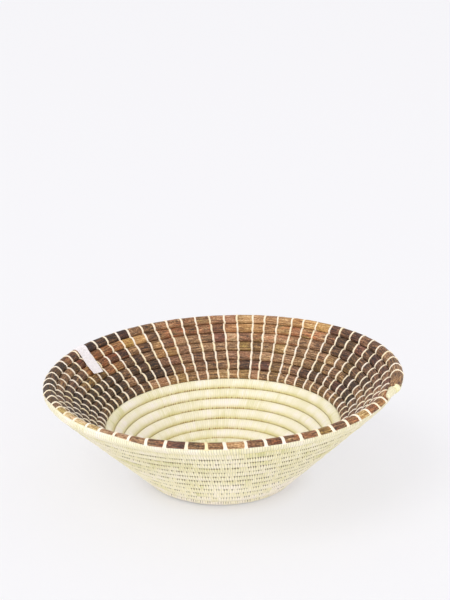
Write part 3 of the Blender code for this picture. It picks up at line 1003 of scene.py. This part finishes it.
def tagTape():
    ways = coilFrame(np.array([(tag["azimuth"] - route["endAzimuth"]) / fullTurn]))
    radius = tag["arcRadius"]
    arcLength = radius * (tag["outerAngle"] - quarterTurn)
    flat = np.linspace(0, arcLength + tag["insideLength"], tag["stations"])
    lengths = flat[:, None]
    across = np.linspace(-0.5, 0.5, tag["across"])
    onTop = np.concatenate([across, across[::-1]])
    side = np.repeat([tag["thickness"] / 2, -tag["thickness"] / 2], tag["across"])
    width = tag["width"] * mixed(tag["narrow"], 1, eased(lengths, *tag["widens"])) * onTop
    pivot = arcLength + tag["pivot"] * tag["insideLength"]
    sine, cosine = math.sin(tag["skew"]), math.cos(tag["skew"])
    run = pivot + (lengths - pivot) * cosine - width * sine
    sideways = (lengths - pivot) * sine + width * cosine
    angle = tag["outerAngle"] - np.clip(run, 0, arcLength) / radius
    inside = np.maximum(run - arcLength, 0)
    before = np.minimum(run, 0)
    flare = eased(lengths, *tag["cornerLifts"]) * np.maximum(onTop, 0) ** 2 * tag["cornerLift"]
    wave = tag["wave"] * np.sin(lengths / tag["waveRun"] + tag["waveSkew"] * onTop)
    wave = wave * smooth(lengths / tag["waveStart"])
    selvedge = tag["selvedge"] * (np.abs(onTop) > tag["selvedgeAt"]) * np.sign(side)
    lift = tag["endLift"] * (inside / tag["insideLength"]) ** 2
    out = radius + side + flare + wave + selvedge + lift
    x = out * np.cos(angle) + inside + before * np.sin(angle)
    y = out * np.sin(angle) - before * np.cos(angle)
    lie = laid(flat, np.append(onTop, onTop[0]) * tag["width"])
    made = makePiece("tag_tape", [(placed(ways, x, y, sideways), lie, {})], tape, ["label_tag"])


tagTape()
print("tag folded over the rim")


# The floor, the light and the camera

studio = {
    "floorSize": 60.0, "floorTint": tint(250, 249, 250), "floorRoughness": 0.9,
    "floorShown": tint(243, 242, 245),
    "shownShares": (0.3, 0.7),  # at the foot, in the darkest shadow, and further out
    "contactRadius": 0.078, "contactFade": 0.03, "skyTint": tint(250, 250, 254), "skyLevel": 0.83,
    "sunLevel": 0.95, "sunAngle": radians(35), "sunFrom": (-0.6, -0.5, 1.0),
    "fills": {"front_fill": (180.0, (0.35, -5.95, 0.88)), "side_fill": (26.0, (5.6, -1.75, 1.6))},
    "fillSize": 5.6, "fillAim": (0, 0, 0.05),
}


def floorFinish():
    # a pale floor that shows lighter to the camera, so that its shadows stay faint
    ground = Finish("pale_floor")
    ground.show({"Base Color": studio["floorTint"], "Roughness": studio["floorRoughness"]})
    camera, glossy, through = [ground.node("ShaderNodeLightPath", {}, {}, f"Is {kind} Ray")
                               for kind in ("Camera", "Glossy", "Transmission")]
    spot = ground.node("ShaderNodeTexCoord", {}, {}, "Object")
    away = ground.node("ShaderNodeVectorMath", {"operation": "LENGTH"}, {0: spot}, "Value")
    away = away.past(studio["contactRadius"], 1 / studio["contactFade"]).held()
    share = (camera + glossy + through).held() * mixed(*studio["shownShares"], away)
    shown = ground.node("ShaderNodeEmission", {}, {"Color": studio["floorShown"], "Strength": 1.0})
    lit = Wire(ground, ground.shader.outputs[0])
    surface = ground.node("ShaderNodeMixShader", {}, {0: share, 1: lit, 2: shown})
    ground.put(ground.tree.nodes["Material Output"].inputs["Surface"], surface)
    return ground


def turnedTo(direction):
    return Vector(direction).to_track_quat("-Z", "Y").to_euler()


def studioSet():
    mesh = bpy.data.meshes.new("studio_floor")
    half = studio["floorSize"] / 2
    corners = [(x * half, y * half, 0) for x, y in ((-1, -1), (1, -1), (1, 1), (-1, 1))]
    mesh.from_pydata(corners, [], [(0, 1, 2, 3)])
    mesh.materials.append(floorFinish().material)
    add("studio_floor", mesh)
    world = bpy.data.worlds.new("studio_light")
    world.use_nodes = True
    sky = world.node_tree.nodes["Background"].inputs
    sky["Color"].default_value = studio["skyTint"]
    sky["Strength"].default_value = studio["skyLevel"]
    bpy.context.scene.world = world
    sun = add("key_light", bpy.data.lights.new("key_light", "SUN"))
    sun.data.energy = studio["sunLevel"]
    sun.data.angle = studio["sunAngle"]
    sun.rotation_euler = turnedTo(-Vector(studio["sunFrom"]))
    for name, (level, place) in studio["fills"].items():
        fill = add(name, bpy.data.lights.new(name, "AREA"))
        fill.data.energy = level
        fill.data.size = studio["fillSize"]
        fill.location = place
        fill.rotation_euler = turnedTo(Vector(studio["fillAim"]) - fill.location)


cameraSet = {
    "place": (0.00488, -1.35102, 0.64340), "forward": (0.0, 0.95185, -0.30656),
    "focalPixels": 1303.7, "imageHeight": 600, "sensor": 36.0, "clips": (0.01, 100),
}


def photoCamera():
    data = bpy.data.cameras.new("photo_camera")
    data.sensor_width = cameraSet["sensor"]
    data.lens = cameraSet["focalPixels"] * cameraSet["sensor"] / cameraSet["imageHeight"]
    data.clip_start, data.clip_end = cameraSet["clips"]
    camera = add("photo_camera", data)
    camera.location = cameraSet["place"]
    camera.rotation_euler = turnedTo(cameraSet["forward"])
    bpy.context.scene.camera = camera


studioSet()
photoCamera()
bpy.context.scene.view_settings.view_transform = "Standard"

bpy.context.view_layer.update()
